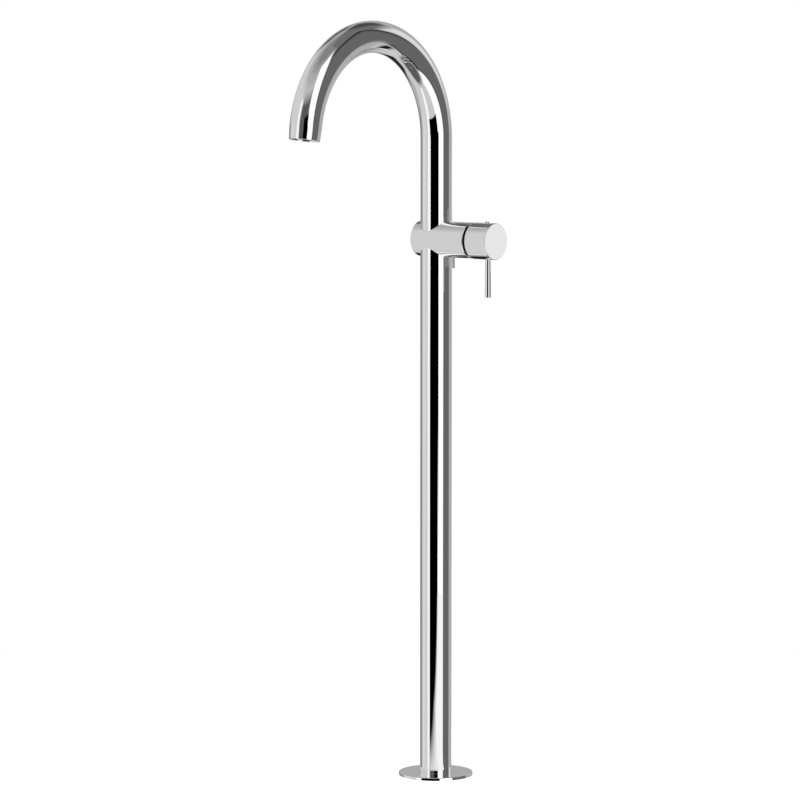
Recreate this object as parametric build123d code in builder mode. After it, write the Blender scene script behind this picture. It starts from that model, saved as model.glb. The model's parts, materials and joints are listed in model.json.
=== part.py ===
from build123d import *
from math import asin, cos, degrees, radians, sin
import os

# Floor-standing basin mixer: a tube column bolted to the floor, a cross body with a side handle,
# and a swivel spout bent over in a wide arch. Millimetres.
# The origin is on the column's axis at floor level, +Z is up, the spout reaches towards -Y
# and the handle points towards +X.

os.makedirs("parts", exist_ok=True)

# Fits, as radial or end gaps
seat_fit = 0.05          # between pieces that are fixed together
slide_on_fit = 0.1       # tube over spigot, ring over collar
running_fit = 0.08       # shaft in its bearing
loose_fit = 0.3          # pieces that pass without guiding each other
disc_film = 0.05         # between the two ceramic discs

# Column, floor plate and rosette
column_diameter = 48
column_wall = 1.5
plate_diameter = 104
plate_thickness = 3.2
plate_opening = 36
bolt_circle = 78
bolt_hole = 6.6
bolt_count = 4
foot_spigot_height = 40
foot_spigot_wall = 2.4
rosette_diameter = 113
rosette_height = 4.5
rosette_wall = 1
rosette_edge = 0.9
foot_screw_height = 32   # above the plate's top
set_screw_diameter = 5

# Supplies inside the column
supply_spacing = 19.2
supply_tube_diameter = 10
supply_tube_wall = 1
supply_socket_depth = 12
inlet_thread_diameter = 14.9
inlet_thread_depth = 12
inlet_block_height = 28
retaining_ring_width = 1.2
retaining_ring_depth = 1
retaining_ring_gap = 8
o_ring_section = 1.6
o_ring_setback = 4       # from a supply socket's mouth to its o-ring

# Body: a cylinder across the column
body_height = 821        # its axis above the floor
body_diameter = 54
body_back = 29           # behind the column's axis
body_front = 70.6        # ahead of the column's axis
body_rim = 1.3
body_mouth_rim = 1.2
web_half = 8             # solid metal each side of the body's axis, between the two sockets
body_spigot_length = 41  # below the column's upper end
locking_pin_x = 33.6
locking_pin_length = 16.4
locking_pin_diameter = 4.4
locking_pin_core = 2.8
locking_pin_beads = 4
locking_pin_depth = 7

# Waterways in the body and the cartridge
port_diameter = 5.2
port_drop = 3            # hot and cold ports below the body's axis
outlet_port_diameter = 6
outlet_port_rise = 4

# Cartridge, measured along the body's axis from the chamber's floor
chamber_floor = 36
cartridge_diameter = 40
seal_section = 1.6
seal_land = 0.8          # from a port's edge to the seal round it
seal_proud = 0.4         # how far the seals stand out of the base
cartridge_base_thickness = 4
disc_thickness = 3.5
disc_diameter = 34
moving_disc_diameter = 26
mixing_recess_width = 18
mixing_recess_height = 6
mixing_recess_depth = 1.8
carrier_height = 4.5
carrier_width = 22
carrier_pocket = 7.1
rotor_flange_thickness = 5.4
rotor_neck_diameter = 22
rotor_reach = 78         # end of the rotor's neck, from the column's axis
shell_wall_top = 2.2
shell_neck_diameter = 28.4
shell_neck_length = 6
nut_thread_diameter = 43.9
nut_thread_length = 10
nut_collar_diameter = 38.4
nut_collar_length = 5
nut_slot_width = 4
nut_slot_depth = 2
cover_wall = 1.2
cover_length = 11
cover_hole_diameter = 23
pivot_x = 72             # the handle tilts about this point on the body's axis
pivot_pin_diameter = 4
tilt_limit = 9

# Handle
spindle_width = 8
spindle_tail_width = 6
spindle_tail_length = 5.6
spindle_end = 101
hub_diameter = 55
hub_gap = 5              # groove between the body and the hub
hub_face = 114.3
hub_face_rim = 0.8
hub_back_rim = 1.2
hub_skirt_bore = 46
hub_skirt_depth = 16.4
hub_boss_diameter = 18
hub_boss_length = 8
lever_x = 99.7
lever_root_diameter = 8.4
lever_tip_diameter = 9.3
lever_reach = 84.5       # tip below the body's axis
lever_seat = 2.5         # how deep the lever's foot sits in the hub
lever_stud_diameter = 6
lever_stud_length = 11
lever_tip_edge = 0.5
index_x = 97.5
index_plug_diameter = 7
index_plug_length = 9.5
index_plug_proud = 2
hub_screw_length = 10

# Spout
spout_diameter = 47.5
spout_wall = 1.5
spout_spring_height = 974.5    # where the arch begins
spout_radius = 152
spout_sweep = 171.5
nozzle_length = 19.5
nozzle_diameter = 45.5
swivel_limit = 60
slip_ring_thickness = 1.5
nipple_flange_diameter = 38
nipple_flange_thickness = 4
nipple_diameter = 21
nipple_bore = 12
nipple_height = 40           # barrel above the flange
nipple_screw_circle = 29
nipple_screw_diameter = 3.2
nipple_screw_head = 7
nipple_screw_head_height = 3.2
nipple_screw_depth = 6
nipple_screw_count = 3
bush_lift = 5                # underside of the bush above the nipple's flange
barrel_ring_offset = 10      # o-rings above and below the locating groove
dog_point_diameter = 3.2
dog_point_length = 1.6
insert_setback = 2
insert_length = 11
insert_lip = 1.4
aerator_diameter = 28
aerator_wall = 2
aerator_setback = 2.6
gasket_thickness = 1.5
gasket_width = 3.5
grille_setback = 3.6
grille_thickness = 5.5
grille_hole = 2.4
grille_pitch = 3.6

# Places worked out from the sizes above
column_radius = column_diameter / 2
column_bore_radius = column_radius - column_wall
spigot_radius = column_bore_radius - slide_on_fit
foot_bore_radius = spigot_radius - foot_spigot_wall
foot_screw_z = plate_thickness + foot_screw_height
column_top = body_height - web_half
body_radius = body_diameter / 2
body_spigot_bottom = column_top - body_spigot_length
supply_y = supply_spacing / 2
supply_radius = supply_tube_diameter / 2
supply_socket_radius = supply_radius + seat_fit
inlet_block_top = plate_thickness + inlet_block_height
supply_bottom = inlet_block_top - supply_socket_depth
supply_top = body_spigot_bottom + supply_socket_depth
socket_o_ring_radius = supply_socket_radius + o_ring_section / 2
socket_o_ring_z = (inlet_block_top - o_ring_setback, body_spigot_bottom + o_ring_setback)
port_radius = port_diameter / 2
outlet_port_radius = outlet_port_diameter / 2

spout_radius_outer = spout_diameter / 2
spout_bore_radius = spout_radius_outer - spout_wall
spout_floor = body_height + web_half
spout_bottom = spout_floor + slip_ring_thickness + slide_on_fit
flange_top = spout_floor + nipple_flange_thickness
nipple_radius = nipple_diameter / 2
nipple_top = flange_top + nipple_height
bush_bottom = flange_top + bush_lift
bush_bore_radius = nipple_radius + running_fit
locating_z = (bush_bottom + nipple_top) / 2
barrel_ring_z = (locating_z - barrel_ring_offset, locating_z + barrel_ring_offset)
dog_tip_radius = nipple_radius - dog_point_length + running_fit
locating_floor_radius = dog_tip_radius - loose_fit

base_start = chamber_floor + seal_proud
disc_start = base_start + cartridge_base_thickness
moving_start = disc_start + disc_thickness + disc_film
carrier_start = moving_start + disc_thickness
rotor_start = carrier_start + carrier_height + loose_fit
rotor_neck_start = rotor_start + rotor_flange_thickness
shell_top = rotor_neck_start + slide_on_fit + shell_wall_top
disc_bore_radius = disc_diameter / 2 + seat_fit
rotor_radius = disc_bore_radius - running_fit
rotor_neck_radius = rotor_neck_diameter / 2
nut_start = shell_top
nut_end = nut_start + nut_thread_length
nut_bore_radius = shell_neck_diameter / 2 + loose_fit
cover_radius = nut_collar_diameter / 2 + slide_on_fit + cover_wall
hub_start = body_front + hub_gap
hub_radius = hub_diameter / 2
hub_web = hub_start + hub_skirt_depth
spindle_start = carrier_start + 1
tail_arm = pivot_x - (spindle_start + carrier_start + carrier_height) / 2
tail_travel = tail_arm * sin(radians(tilt_limit))
index_plug_foot = body_height + hub_radius + index_plug_proud - index_plug_length
ports = (
    (-supply_y, -port_drop, port_radius),
    (supply_y, -port_drop, port_radius),
    (0, outlet_port_rise, outlet_port_radius),
)
nozzle_bore_radius = nozzle_diameter / 2 - spout_wall
aerator_radius = aerator_diameter / 2
gasket_bore_radius = aerator_radius - gasket_width

# Planes and axes
column_section = Plane.XZ


def upright(angle):
    """A plane through the column's axis, with its own X pointing out at that angle and its own Y upwards."""
    out = (cos(radians(angle)), sin(radians(angle)), 0)
    return Plane(origin=(0, 0, 0), x_dir=out, z_dir=(out[1], -out[0], 0))


def across(x):
    """A plane square to the body's axis, with its own X along +Y and its own Y upwards."""
    return Plane(origin=(x, 0, body_height), x_dir=(0, 1, 0), z_dir=(1, 0, 0))


arch_end = radians(spout_sweep)
arch_centre_y = -spout_radius
arch_end_point = (
    0,
    arch_centre_y + spout_radius * cos(arch_end),
    spout_spring_height + spout_radius * sin(arch_end),
)
flow_direction = Vector(0, -sin(arch_end), cos(arch_end))
nozzle_tip = Vector(*arch_end_point) + flow_direction * nozzle_length
nozzle_side = Vector(1, 0, 0).cross(flow_direction * -1)
nozzle_section = Plane(origin=nozzle_tip, x_dir=(1, 0, 0), z_dir=nozzle_side)
nozzle_line = Axis(nozzle_tip, flow_direction * -1)


def nozzle_bore_at(depth):
    """Radius of the nozzle's tapered bore at a depth in from its end."""
    return nozzle_bore_radius + (spout_bore_radius - nozzle_bore_radius) * depth / nozzle_length


# Floor plate: a steel disc with four bolt holes and a spigot that the column slips over
with BuildPart() as floor_plate:
    with BuildSketch():
        Circle(plate_diameter / 2)
    extrude(amount=plate_thickness)
    with BuildSketch(Plane.XY.offset(plate_thickness)):
        Circle(spigot_radius)
    extrude(amount=foot_spigot_height)
    with BuildSketch(Plane.XY.offset(plate_thickness)):
        Circle(foot_bore_radius)
    extrude(amount=foot_spigot_height, mode=Mode.SUBTRACT)
    with BuildSketch():
        Circle(plate_opening / 2)
        with PolarLocations(bolt_circle / 2, bolt_count, start_angle=180 / bolt_count):
            Circle(bolt_hole / 2)
    extrude(amount=plate_thickness, mode=Mode.SUBTRACT)
    # Groove for the ring that holds the inlet block down
    with BuildSketch(Plane.XY.offset(inlet_block_top)):
        Circle(foot_bore_radius + retaining_ring_depth)
        Circle(foot_bore_radius, mode=Mode.SUBTRACT)
    extrude(amount=retaining_ring_width + seat_fit, mode=Mode.SUBTRACT)
    # Threaded hole for the screw that locks the column, at the back
    with BuildSketch(Plane.XZ.offset(-spigot_radius)):
        with Locations((0, foot_screw_z)):
            Circle(set_screw_diameter / 2 + seat_fit)
    extrude(amount=foot_spigot_wall + 1, mode=Mode.SUBTRACT)

# Rosette: a flat dished cover that hides the plate and its bolts
with BuildPart() as rosette:
    with BuildSketch():
        Circle(rosette_diameter / 2)
    extrude(amount=rosette_height)
    fillet(rosette.edges().group_by(Axis.Z)[-1], rosette_edge)
    with BuildSketch():
        Circle(rosette_diameter / 2 - rosette_wall)
    extrude(amount=rosette_height - rosette_wall, mode=Mode.SUBTRACT)
    with BuildSketch():
        Circle(column_radius + loose_fit)
    extrude(amount=rosette_height, mode=Mode.SUBTRACT)

# Column tube
with BuildPart() as column_tube:
    with BuildSketch(Plane.XY.offset(plate_thickness)):
        Circle(column_radius)
        Circle(column_bore_radius, mode=Mode.SUBTRACT)
    extrude(amount=column_top - plate_thickness)
    with BuildSketch(Plane.XZ.offset(-column_radius - 1)):
        with Locations((0, foot_screw_z)):
            Circle(set_screw_diameter / 2 + seat_fit)
    extrude(amount=column_wall + 2, mode=Mode.SUBTRACT)

# Grub screw that locks the column on the floor plate's spigot
foot_screw_length = column_radius - foot_bore_radius - loose_fit
with BuildPart() as column_set_screw:
    with BuildSketch(Plane.XZ.offset(loose_fit - column_radius)):
        with Locations((0, foot_screw_z)):
            Circle(set_screw_diameter / 2)
    extrude(amount=foot_screw_length)
    with BuildSketch(Plane.XZ.offset(loose_fit - column_radius)):
        with Locations((0, foot_screw_z)):
            RegularPolygon(set_screw_diameter / 4, 6, major_radius=False)
    extrude(amount=foot_screw_length / 2, mode=Mode.SUBTRACT)

# Inlet block: takes the hot and cold hoses from below and the two supply tubes from above
with BuildPart() as inlet_block:
    with BuildSketch(Plane.XY.offset(plate_thickness)):
        Circle(foot_bore_radius - slide_on_fit)
    extrude(amount=inlet_block_height)
    with BuildSketch(Plane.XY.offset(plate_thickness)):
        with GridLocations(0, supply_spacing, 1, 2):
            Circle(inlet_thread_diameter / 2)
    extrude(amount=inlet_thread_depth, mode=Mode.SUBTRACT)
    with BuildSketch(Plane.XY.offset(supply_bottom)):
        with GridLocations(0, supply_spacing, 1, 2):
            Circle(supply_socket_radius)
    extrude(amount=supply_socket_depth, mode=Mode.SUBTRACT)
    with BuildSketch(Plane.XY.offset(plate_thickness)):
        with GridLocations(0, supply_spacing, 1, 2):
            Circle(supply_radius - supply_tube_wall)
    extrude(amount=inlet_block_height, mode=Mode.SUBTRACT)
    with BuildSketch(Plane.XY.offset(socket_o_ring_z[0] - o_ring_section / 2)):
        with GridLocations(0, supply_spacing, 1, 2):
            Circle(supply_socket_radius + o_ring_section)
    extrude(amount=o_ring_section, mode=Mode.SUBTRACT)

# Open spring ring that holds the inlet block in the foot
with BuildPart() as inlet_block_ring:
    with BuildSketch(Plane.XY.offset(inlet_block_top)):
        Circle(foot_bore_radius + retaining_ring_depth - seat_fit)
        Circle(foot_bore_radius - retaining_ring_depth, mode=Mode.SUBTRACT)
        with Locations((foot_bore_radius, 0)):
            Rectangle(6 * retaining_ring_depth, retaining_ring_gap, mode=Mode.SUBTRACT)
    extrude(amount=retaining_ring_width)

# Hot and cold supply tubes up the inside of the column
with BuildPart() as hot_supply_tube:
    with BuildSketch(Plane.XY.offset(supply_bottom)):
        with Locations((0, -supply_y)):
            Circle(supply_radius)
            Circle(supply_radius - supply_tube_wall, mode=Mode.SUBTRACT)
    extrude(amount=supply_top - supply_bottom)

with BuildPart() as cold_supply_tube:
    with BuildSketch(Plane.XY.offset(supply_bottom)):
        with Locations((0, supply_y)):
            Circle(supply_radius)
            Circle(supply_radius - supply_tube_wall, mode=Mode.SUBTRACT)
    extrude(amount=supply_top - supply_bottom)

# O-rings round both ends of both supply tubes
with BuildPart() as supply_o_rings:
    for ring_z in socket_o_ring_z:
        for side in (-1, 1):
            with Locations((0, side * supply_y, ring_z)):
                Torus(socket_o_ring_radius, o_ring_section / 2 - seat_fit / 2)

# Body: a brass cylinder bored across for the column, the spout and the cartridge
with BuildPart() as body_casting:
    with BuildSketch(across(-body_back)):
        Circle(body_radius)
    extrude(amount=body_back + body_front)
    fillet(body_casting.edges().filter_by(GeomType.CIRCLE).sort_by(Axis.X)[0], body_rim)
    # Cartridge chamber with the nut's thread at its mouth
    with BuildSketch(across(chamber_floor)):
        Circle(cartridge_diameter / 2 + slide_on_fit)
    extrude(amount=body_front - chamber_floor, mode=Mode.SUBTRACT)
    with BuildSketch(across(nut_start - 1)):
        Circle(nut_thread_diameter / 2 + seat_fit)
    extrude(amount=body_front - nut_start + 1, mode=Mode.SUBTRACT)
    mouth_edges = body_casting.edges().filter_by(GeomType.CIRCLE).group_by(Axis.X)[-1]
    fillet(mouth_edges.sort_by(SortBy.RADIUS)[-1], body_mouth_rim)
    # Sockets for the column below and the spout above
    with BuildSketch(Plane.XY.offset(body_height - body_radius - 1)):
        Circle(column_radius + seat_fit)
    extrude(amount=body_radius + 1 - web_half, mode=Mode.SUBTRACT)
    with BuildSketch(Plane.XY.offset(spout_floor)):
        Circle(spout_radius_outer + slide_on_fit)
    extrude(amount=body_radius, mode=Mode.SUBTRACT)
    # Spigot inside the column's upper end
    with BuildSketch(Plane.XY.offset(body_spigot_bottom)):
        Circle(spigot_radius)
    extrude(amount=body_spigot_length)
    # Supply sockets, with their o-ring grooves, and the risers to the port level
    with BuildSketch(Plane.XY.offset(body_spigot_bottom)):
        with GridLocations(0, supply_spacing, 1, 2):
            Circle(supply_socket_radius)
    extrude(amount=supply_socket_depth, mode=Mode.SUBTRACT)
    with BuildSketch(Plane.XY.offset(socket_o_ring_z[1] - o_ring_section / 2)):
        with GridLocations(0, supply_spacing, 1, 2):
            Circle(supply_socket_radius + o_ring_section)
    extrude(amount=o_ring_section, mode=Mode.SUBTRACT)
    with BuildSketch(Plane.XY.offset(body_spigot_bottom)):
        with GridLocations(0, supply_spacing, 1, 2):
            Circle(port_radius)
    extrude(amount=body_height - port_drop - body_spigot_bottom, mode=Mode.SUBTRACT)
    # Ports along the body into the chamber, and the mixed water's way up to the spout
    with BuildSketch(across(0)):
        with Locations((-supply_y, -port_drop), (supply_y, -port_drop)):
            Circle(port_radius)
        with Locations((0, outlet_port_rise)):
            Circle(outlet_port_radius)
    extrude(amount=chamber_floor, mode=Mode.SUBTRACT)
    with BuildSketch(Plane.XY.offset(body_height + outlet_port_rise)):
        Circle(outlet_port_radius)
    extrude(amount=web_half - outlet_port_rise, mode=Mode.SUBTRACT)
    # Tapped holes for the nipple's screws and for the locking pin
    with BuildSketch(Plane.XY.offset(spout_floor)):
        with PolarLocations(nipple_screw_circle / 2, nipple_screw_count, start_angle=90):
            Circle(nipple_screw_diameter / 2 + seat_fit)
    extrude(amount=-nipple_screw_depth, mode=Mode.SUBTRACT)
    with BuildSketch(Plane.XY.offset(body_height - body_radius - 1)):
        with Locations((locking_pin_x, 0)):
            Circle(locking_pin_core / 2 + seat_fit)
    extrude(amount=locking_pin_depth + 1, mode=Mode.SUBTRACT)

# Locking pin: a short beaded pin screwed into the body's underside
bead_height = locking_pin_length / locking_pin_beads
body_underside = body_height - body_radius
with BuildPart() as body_locking_pin:
    with BuildSketch(Plane.XY.offset(body_underside - locking_pin_length + bead_height)):
        with Locations((locking_pin_x, 0)):
            Circle(locking_pin_core / 2)
    extrude(amount=locking_pin_length - bead_height + locking_pin_depth - seat_fit)
    with BuildSketch(column_section):
        for bead in range(locking_pin_beads):
            bead_foot = body_underside - locking_pin_length + bead * bead_height
            with BuildLine():
                outer = ThreePointArc(
                    (locking_pin_x, bead_foot),
                    (locking_pin_x + locking_pin_diameter / 2, bead_foot + bead_height / 2),
                    (locking_pin_x, bead_foot + bead_height),
                )
                Line(outer @ 1, outer @ 0)
            make_face()
    revolve(axis=Axis((locking_pin_x, 0, 0), (0, 0, 1)))

# Spout nipple: screwed to the body, carries the spout's bush and the mixed water
locating_half_angle = swivel_limit + degrees(asin(dog_point_diameter / 2 / dog_tip_radius)) + 2
locating_width = dog_point_diameter + 2 * loose_fit
with BuildPart() as spout_nipple:
    with BuildSketch(Plane.XY.offset(spout_floor)):
        Circle(nipple_flange_diameter / 2)
    extrude(amount=nipple_flange_thickness)
    with BuildSketch(Plane.XY.offset(flange_top)):
        Circle(nipple_radius)
    extrude(amount=nipple_height)
    fillet(spout_nipple.edges().group_by(Axis.Z)[-1], 1)
    with BuildSketch(Plane.XY.offset(spout_floor)):
        Circle(nipple_bore / 2)
    extrude(amount=nipple_top - spout_floor, mode=Mode.SUBTRACT)
    with BuildSketch(Plane.XY.offset(spout_floor)):
        with PolarLocations(nipple_screw_circle / 2, nipple_screw_count, start_angle=90):
            Circle(nipple_screw_diameter / 2 + loose_fit)
    extrude(amount=nipple_flange_thickness, mode=Mode.SUBTRACT)
    for ring_z in barrel_ring_z:
        with BuildSketch(Plane.XY.offset(ring_z - o_ring_section / 2)):
            Circle(nipple_radius)
            Circle(nipple_radius - o_ring_section, mode=Mode.SUBTRACT)
        extrude(amount=o_ring_section, mode=Mode.SUBTRACT)
    # Locating groove at the back, whose ends stop the spout's swing
    with BuildSketch(upright(90 - locating_half_angle)):
        with Locations(((nipple_radius + locating_floor_radius) / 2, locating_z)):
            Rectangle(nipple_radius - locating_floor_radius, locating_width)
    revolve(axis=Axis.Z, revolution_arc=2 * locating_half_angle, mode=Mode.SUBTRACT)

# Screws that hold the nipple down on the body
with BuildPart() as nipple_screws:
    with BuildSketch(Plane.XY.offset(flange_top)):
        with PolarLocations(nipple_screw_circle / 2, nipple_screw_count, start_angle=90):
            Circle(nipple_screw_head / 2)
    extrude(amount=nipple_screw_head_height)
    fillet(nipple_screws.edges().group_by(Axis.Z)[-1], nipple_screw_head_height / 4)
    with BuildSketch(Plane.XY.offset(spout_floor - nipple_screw_depth + loose_fit)):
        with PolarLocations(nipple_screw_circle / 2, nipple_screw_count, start_angle=90):
            Circle(nipple_screw_diameter / 2)
    extrude(amount=nipple_screw_depth - loose_fit + nipple_flange_thickness)
    with BuildSketch(Plane.XY.offset(flange_top + nipple_screw_head_height)):
        with PolarLocations(nipple_screw_circle / 2, nipple_screw_count, start_angle=90):
            RegularPolygon(nipple_screw_head / 5, 6, major_radius=False)
    extrude(amount=-nipple_screw_head_height / 2, mode=Mode.SUBTRACT)

# O-rings in the nipple's barrel
with BuildPart() as nipple_o_rings:
    for ring_z in barrel_ring_z:
        with Locations((0, 0, ring_z)):
            Torus(nipple_radius - o_ring_section / 2, o_ring_section / 2 - seat_fit / 2)

# Slip ring under the spout's foot
with BuildPart() as spout_slip_ring:
    with BuildSketch(Plane.XY.offset(spout_floor)):
        Circle(spout_radius_outer - seat_fit)
        Circle(nipple_flange_diameter / 2 + loose_fit, mode=Mode.SUBTRACT)
    extrude(amount=slip_ring_thickness)

# Cartridge seals, base and fixed disc, all with the same three ports
with BuildPart() as cartridge_seals:
    with BuildSketch(across(chamber_floor)):
        for port_y, port_z, port_r in ports:
            with Locations((port_y, port_z)):
                Circle(port_r + seal_land + seal_section)
                Circle(port_r + seal_land, mode=Mode.SUBTRACT)
    extrude(amount=seal_section)

with BuildPart() as cartridge_base:
    with BuildSketch(across(base_start)):
        Circle(cartridge_diameter / 2)
        for port_y, port_z, port_r in ports:
            with Locations((port_y, port_z)):
                Circle(port_r, mode=Mode.SUBTRACT)
    extrude(amount=cartridge_base_thickness)
    with BuildSketch(across(base_start)):
        for port_y, port_z, port_r in ports:
            with Locations((port_y, port_z)):
                Circle(port_r + seal_land + seal_section + seat_fit)
                Circle(port_r + seal_land - seat_fit, mode=Mode.SUBTRACT)
    extrude(amount=chamber_floor + seal_section - base_start, mode=Mode.SUBTRACT)

with BuildPart() as fixed_disc:
    with BuildSketch(across(disc_start)):
        Circle(disc_diameter / 2)
        for port_y, port_z, port_r in ports:
            with Locations((port_y, port_z)):
                Circle(port_r, mode=Mode.SUBTRACT)
    extrude(amount=disc_thickness)

# Moving disc: a recess in its face joins the ports once it slides down
with BuildPart() as moving_disc:
    with BuildSketch(across(moving_start)):
        Circle(moving_disc_diameter / 2)
    extrude(amount=disc_thickness)
    with BuildSketch(across(moving_start)):
        with Locations((0, outlet_port_rise)):
            SlotOverall(mixing_recess_width, mixing_recess_height)
    extrude(amount=mixing_recess_depth, mode=Mode.SUBTRACT)

# Carrier on the moving disc, with flats for the rotor's lugs and a pocket for the spindle's tail
with BuildPart() as disc_carrier:
    with BuildSketch(across(carrier_start)):
        Circle(moving_disc_diameter / 2)
        Rectangle(carrier_width, moving_disc_diameter, mode=Mode.INTERSECT)
    extrude(amount=carrier_height)
    with BuildSketch(across(spindle_start - 0.5)):
        Rectangle(carrier_pocket, carrier_pocket)
    extrude(amount=carrier_height, mode=Mode.SUBTRACT)

# Cartridge rotor: turns in the shell, guides the carrier and holds the spindle's pivot
slot_half_width = spindle_width / 2 + loose_fit
slot_low = spindle_width / 2 + tail_travel + 2 * loose_fit
slot_high = spindle_width / 2 + (rotor_reach - pivot_x) * sin(radians(tilt_limit)) + 2 * loose_fit
with BuildPart() as cartridge_rotor:
    with BuildSketch(across(carrier_start + loose_fit / 2)):
        Circle(rotor_radius)
        Rectangle(carrier_width + loose_fit, disc_diameter, mode=Mode.SUBTRACT)
    extrude(amount=rotor_start - carrier_start - loose_fit / 2)
    with BuildSketch(across(rotor_start)):
        Circle(rotor_radius)
    extrude(amount=rotor_flange_thickness)
    with BuildSketch(across(rotor_neck_start)):
        Circle(rotor_neck_radius)
    extrude(amount=rotor_reach - rotor_neck_start)
    with BuildSketch(across(rotor_start)):
        with Locations((0, (slot_high - slot_low) / 2)):
            Rectangle(2 * slot_half_width, slot_high + slot_low)
    extrude(amount=rotor_reach - rotor_start, mode=Mode.SUBTRACT)
    with BuildSketch(Plane.XZ.offset(rotor_neck_radius)):
        with Locations((pivot_x, body_height)):
            Circle(pivot_pin_diameter / 2 + seat_fit)
    extrude(amount=-rotor_neck_diameter, mode=Mode.SUBTRACT)

# Pivot pin across the rotor's neck
with BuildPart() as pivot_pin:
    with BuildSketch(Plane.XZ.offset(rotor_neck_radius - 2 * loose_fit)):
        with Locations((pivot_x, body_height)):
            Circle(pivot_pin_diameter / 2)
    extrude(amount=-2 * (rotor_neck_radius - 2 * loose_fit))

# Cartridge shell round the discs and the rotor
with BuildPart() as cartridge_shell:
    with BuildSketch(across(disc_start)):
        Circle(cartridge_diameter / 2)
    extrude(amount=shell_top - disc_start)
    with BuildSketch(across(shell_top)):
        Circle(shell_neck_diameter / 2)
    extrude(amount=shell_neck_length)
    with BuildSketch(across(disc_start)):
        Circle(disc_bore_radius)
    extrude(amount=shell_top - shell_wall_top - disc_start, mode=Mode.SUBTRACT)
    with BuildSketch(across(disc_start)):
        Circle(rotor_neck_radius + running_fit)
    extrude(amount=shell_top + shell_neck_length - disc_start, mode=Mode.SUBTRACT)

# Ring nut that clamps the cartridge in the body
with BuildPart() as cartridge_nut:
    with BuildSketch(across(nut_start)):
        Circle(nut_thread_diameter / 2)
    extrude(amount=nut_thread_length)
    with BuildSketch(across(nut_end)):
        Circle(nut_collar_diameter / 2)
    extrude(amount=nut_collar_length)
    with BuildSketch(across(nut_start)):
        Circle(nut_bore_radius)
    extrude(amount=nut_thread_length + nut_collar_length, mode=Mode.SUBTRACT)
    with BuildSketch(across(nut_end + nut_collar_length)):
        Rectangle(nut_slot_width, nut_thread_diameter)
        Rectangle(nut_thread_diameter, nut_slot_width)
    extrude(amount=-nut_slot_depth, mode=Mode.SUBTRACT)

# Core cover: the black cap over the nut that shows in the groove
with BuildPart() as core_cover:
    with BuildSketch(across(nut_end)):
        Circle(cover_radius)
    extrude(amount=cover_length)
    fillet(core_cover.edges().group_by(Axis.X)[-1], cover_wall / 2)
    with BuildSketch(across(nut_end)):
        Circle(cover_radius - cover_wall)
    extrude(amount=cover_length - cover_wall, mode=Mode.SUBTRACT)
    with BuildSketch(across(nut_end)):
        Circle(cover_hole_diameter / 2)
    extrude(amount=cover_length, mode=Mode.SUBTRACT)

# Spindle: a square bar on the pivot pin, its tail in the carrier and its head in the hub
with BuildPart() as spindle:
    with BuildSketch(across(spindle_start)):
        Rectangle(spindle_tail_width, spindle_tail_width)
    extrude(amount=spindle_tail_length)
    with BuildSketch(across(spindle_start + spindle_tail_length)):
        Rectangle(spindle_width, spindle_width)
    extrude(amount=spindle_end - spindle_start - spindle_tail_length)
    with BuildSketch(Plane.XZ.offset(spindle_width)):
        with Locations((pivot_x, body_height)):
            Circle(pivot_pin_diameter / 2 + running_fit)
    extrude(amount=-2 * spindle_width, mode=Mode.SUBTRACT)

# Hub: a brass drum with a hollow skirt over the core cover and a boss for the spindle
lever_seat_z = body_height - hub_radius + lever_seat
with BuildPart() as hub:
    with BuildSketch(across(hub_start)):
        Circle(hub_radius)
    extrude(amount=hub_face - hub_start)
    hub_rims = hub.edges().filter_by(GeomType.CIRCLE).sort_by(Axis.X)
    fillet(hub_rims[0], hub_back_rim)
    fillet(hub_rims[-1], hub_face_rim)
    with BuildSketch(across(hub_start)):
        Circle(hub_skirt_bore / 2)
    extrude(amount=hub_skirt_depth, mode=Mode.SUBTRACT)
    with BuildSketch(across(hub_web - hub_boss_length)):
        Circle(hub_boss_diameter / 2)
    extrude(amount=hub_boss_length)
    with BuildSketch(across(hub_web - hub_boss_length)):
        Rectangle(spindle_width + 2 * seat_fit, spindle_width + 2 * seat_fit)
    extrude(amount=spindle_end + loose_fit - hub_web + hub_boss_length, mode=Mode.SUBTRACT)
    # Seat and thread for the lever underneath
    with BuildSketch(Plane.XY.offset(lever_seat_z)):
        with Locations((lever_x, 0)):
            Circle(lever_root_diameter / 2 + seat_fit)
    extrude(amount=-lever_seat - 1, mode=Mode.SUBTRACT)
    with BuildSketch(Plane.XY.offset(lever_seat_z)):
        with Locations((lever_x, 0)):
            Circle(lever_stud_diameter / 2 + seat_fit)
    extrude(amount=lever_stud_length + loose_fit, mode=Mode.SUBTRACT)
    # Hole for the screw on the spindle and for the plug over it
    with BuildSketch(Plane.XY.offset(body_height)):
        with Locations((index_x, 0)):
            Circle(set_screw_diameter / 2 + seat_fit)
    extrude(amount=hub_radius + 1, mode=Mode.SUBTRACT)
    with BuildSketch(Plane.XY.offset(index_plug_foot)):
        with Locations((index_x, 0)):
            Circle(index_plug_diameter / 2 + seat_fit)
    extrude(amount=index_plug_length, mode=Mode.SUBTRACT)

# Lever: a slim bar that widens towards its flat end, screwed up into the hub
lever_tip_z = body_height - lever_reach
with BuildPart() as lever:
    with BuildSketch(column_section):
        with BuildLine():
            Polyline(
                (lever_x, lever_tip_z),
                (lever_x + lever_tip_diameter / 2 - lever_tip_edge, lever_tip_z),
                (lever_x + lever_tip_diameter / 2, lever_tip_z + lever_tip_edge),
                (lever_x + lever_root_diameter / 2, lever_seat_z),
                (lever_x + lever_stud_diameter / 2, lever_seat_z),
                (lever_x + lever_stud_diameter / 2, lever_seat_z + lever_stud_length),
                (lever_x, lever_seat_z + lever_stud_length),
                close=True,
            )
        make_face()
    revolve(axis=Axis((lever_x, 0, 0), (0, 0, 1)))

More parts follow.
